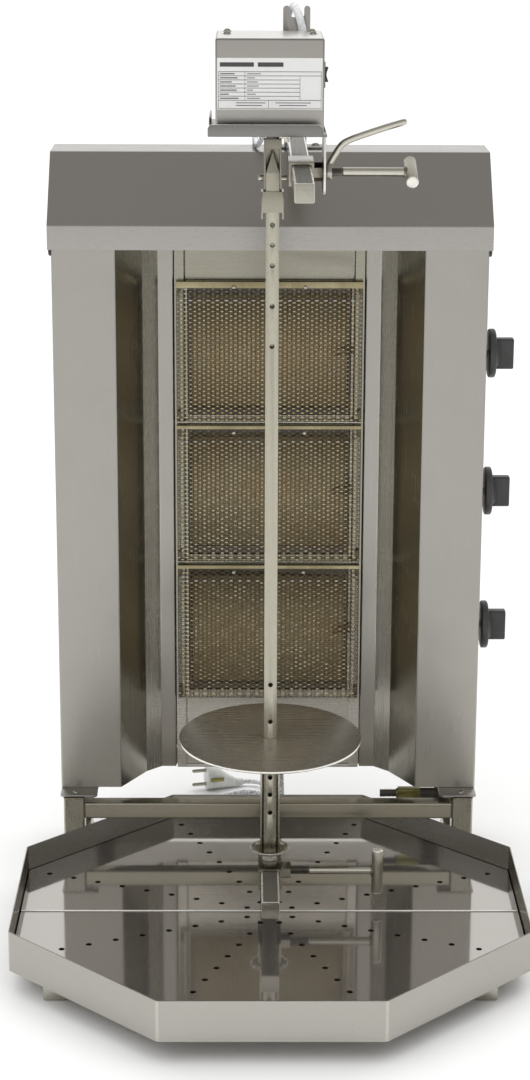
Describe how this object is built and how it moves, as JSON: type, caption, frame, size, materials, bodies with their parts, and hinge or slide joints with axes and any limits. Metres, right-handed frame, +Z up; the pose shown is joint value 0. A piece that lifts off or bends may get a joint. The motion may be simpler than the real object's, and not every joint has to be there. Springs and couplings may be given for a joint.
{
  "type": "vertical rotisserie broiler",
  "caption": "Countertop vertical rotisserie broiler with gas burners, sliding motor carriage, turning spit and drip tray.",
  "frame": {"origin": "centre of the footprint, on the table", "axes": "+Z up, -Y is the cook's side, +X to the cook's right"},
  "size_m": [0.568, 0.7862, 1.038],
  "materials": {
    "steel": "satin",
    "tube": "satin",
    "dark_steel": "gloss",
    "heated": "matte",
    "ceramic": "matte",
    "cast": "matte",
    "black": "satin",
    "brass": "satin",
    "white": "satin",
    "zinc": "satin",
    "cord": "matte"
  },
  "bodies": {
    "frame": {"base_rail_left": "tube", "base_rail_right": "tube", "upright_front_left": "tube", "upright_front_right": "tube", "rear_stand": "tube", "seat_left": "tube", "seat_right": "tube", "cross_tube": "tube", "lower_bar": "tube", "side_shell_left": "steel", "side_shell_right": "steel", "cabinet_floor": "steel", "burner_panel": "steel", "back_cover": "steel", "hood": "steel", "mesh_guard_1": "heated", "mesh_guard_2": "heated", "mesh_guard_3": "heated", "ceramic_1": "ceramic", "ceramic_2": "ceramic", "ceramic_3": "ceramic", "burner_body_1": "cast", "burner_body_2": "cast", "burner_body_3": "cast", "gas_manifold": "cast", "inlet_fitting": "brass", "upper_bar": "tube", "bar_bracket": "steel", "cord_run": "cord", "plug": "white"},
    "drive_carriage": {"upper_sleeve": "steel", "motor_shelf": "steel", "motor_box": "steel", "gearmotor": "cast", "switch_housing": "black", "cord_guide": "steel", "cord_gland": "black"},
    "upper_clamp_screw": {"upper_screw": "zinc"},
    "upper_clamp_handle": {"upper_tbar": "zinc"},
    "lever": {"clamp_lever": "zinc"},
    "power_rocker": {"rocker": "black"},
    "socket": {"drive_socket": "zinc"},
    "pin": {"cross_pin": "zinc"},
    "spit_carriage": {"lower_sleeve": "steel", "bearing_nut": "zinc"},
    "lower_clamp_screw": {"lower_screw": "zinc"},
    "lower_clamp_handle": {"lower_tbar": "zinc"},
    "spit_assembly": {"spit_holder": "steel", "spit": "steel"},
    "collar": {"lock_collar": "zinc"},
    "plate": {"meat_plate": "dark_steel"},
    "tray": {"drip_tray": "steel"},
    "plate_front": {"tray_plate_front": "dark_steel"},
    "plate_rear": {"tray_plate_rear": "dark_steel"},
    "stem_1": {"valve_stem_1": "zinc"},
    "control_1": {"knob_1": "black"},
    "stem_2": {"valve_stem_2": "zinc"},
    "control_2": {"knob_2": "black"},
    "stem_3": {"valve_stem_3": "zinc"},
    "control_3": {"knob_3": "black"}
  },
  "joints": [
    {"name": "carriage_slide", "type": "slide", "parent": "frame", "child": "drive_carriage", "axis": [0, 1, 0], "range_m": [-0.07, 0.12], "deforming": ["cord_run"]},
    {"name": "spit_carriage_slide", "type": "slide", "parent": "frame", "child": "spit_carriage", "axis": [0, 1, 0], "range_m": [-0.07, 0.12]},
    {"name": "upper_screw_slide", "type": "slide", "parent": "drive_carriage", "child": "upper_clamp_screw", "axis": [1, 0, 0], "range_m": [0, 0.003]},
    {"name": "upper_handle_turn", "type": "hinge", "parent": "upper_clamp_screw", "child": "upper_clamp_handle", "pos_m": [0.1448, -0.023, 0.8735], "axis": [1, 0, 0], "range_deg": [0, 720]},
    {"name": "lever_turn", "type": "hinge", "parent": "drive_carriage", "child": "lever", "pos_m": [0.058, -0.023, 0.8735], "axis": [1, 0, 0], "range_deg": [-45, 45]},
    {"name": "rocker_tip", "type": "hinge", "parent": "drive_carriage", "child": "power_rocker", "pos_m": [0.0505, -0.023, 0.974], "axis": [0, 1, 0], "range_deg": [-8, 8]},
    {"name": "socket_spin", "type": "hinge", "parent": "drive_carriage", "child": "socket", "pos_m": [0, -0.023, 0.88], "axis": [0, 0, 1], "continuous": true},
    {"name": "pin_pull", "type": "slide", "parent": "socket", "child": "pin", "axis": [1, 0, 0], "range_m": [-0.027, 0]},
    {"name": "lower_screw_slide", "type": "slide", "parent": "spit_carriage", "child": "lower_clamp_screw", "axis": [1, 0, 0], "range_m": [0, 0.003]},
    {"name": "lower_handle_turn", "type": "hinge", "parent": "lower_clamp_screw", "child": "lower_clamp_handle", "pos_m": [0.1218, -0.024, 0.086], "axis": [1, 0, 0], "range_deg": [0, 720]},
    {"name": "spit_spin", "type": "hinge", "parent": "spit_carriage", "child": "spit_assembly", "pos_m": [0, -0.023, 0.11], "axis": [0, 0, 1], "continuous": true},
    {"name": "collar_lift", "type": "slide", "parent": "spit_assembly", "child": "collar", "axis": [0, 0, 1], "range_m": [-0.05, 0]},
    {"name": "plate_lift", "type": "slide", "parent": "spit_assembly", "child": "plate", "axis": [0, 0, 1], "range_m": [0, 0.4]},
    {"name": "tray_slide", "type": "slide", "parent": "frame", "child": "tray", "axis": [0, 1, 0], "range_m": [-0.11, 0]},
    {"name": "plate_front_lift", "type": "slide", "parent": "tray", "child": "plate_front", "axis": [0, 0, 1], "range_m": [0, 0.01]},
    {"name": "plate_rear_lift", "type": "slide", "parent": "tray", "child": "plate_rear", "axis": [0, 0, 1], "range_m": [0, 0.01]},
    {"name": "valve_turn_1", "type": "hinge", "parent": "frame", "child": "stem_1", "pos_m": [0.248, 0.212, 0.3035], "axis": [1, 0, 0], "range_deg": [-90, 0]},
    {"name": "knob_press_1", "type": "slide", "parent": "stem_1", "child": "control_1", "axis": [-1, 0, 0], "range_m": [0, 0.003], "stiffness_N_per_m": 800, "springref_m": -0.002},
    {"name": "valve_turn_2", "type": "hinge", "parent": "frame", "child": "stem_2", "pos_m": [0.248, 0.212, 0.469], "axis": [1, 0, 0], "range_deg": [-90, 0]},
    {"name": "knob_press_2", "type": "slide", "parent": "stem_2", "child": "control_2", "axis": [-1, 0, 0], "range_m": [0, 0.003], "stiffness_N_per_m": 800, "springref_m": -0.002},
    {"name": "valve_turn_3", "type": "hinge", "parent": "frame", "child": "stem_3", "pos_m": [0.248, 0.212, 0.6345], "axis": [1, 0, 0], "range_deg": [-90, 0]},
    {"name": "knob_press_3", "type": "slide", "parent": "stem_3", "child": "control_3", "axis": [-1, 0, 0], "range_m": [0, 0.003], "stiffness_N_per_m": 800, "springref_m": -0.002}
  ],
  "couplings": [
    {"joint": "spit_carriage_slide", "follows": "carriage_slide", "ratio": 1},
    {"joint": "upper_screw_slide", "follows": "upper_handle_turn", "m_per_rad": 0.00023873},
    {"joint": "lower_screw_slide", "follows": "lower_handle_turn", "m_per_rad": 0.00023873},
    {"joint": "socket_spin", "follows": "spit_spin", "ratio": 1}
  ]
}
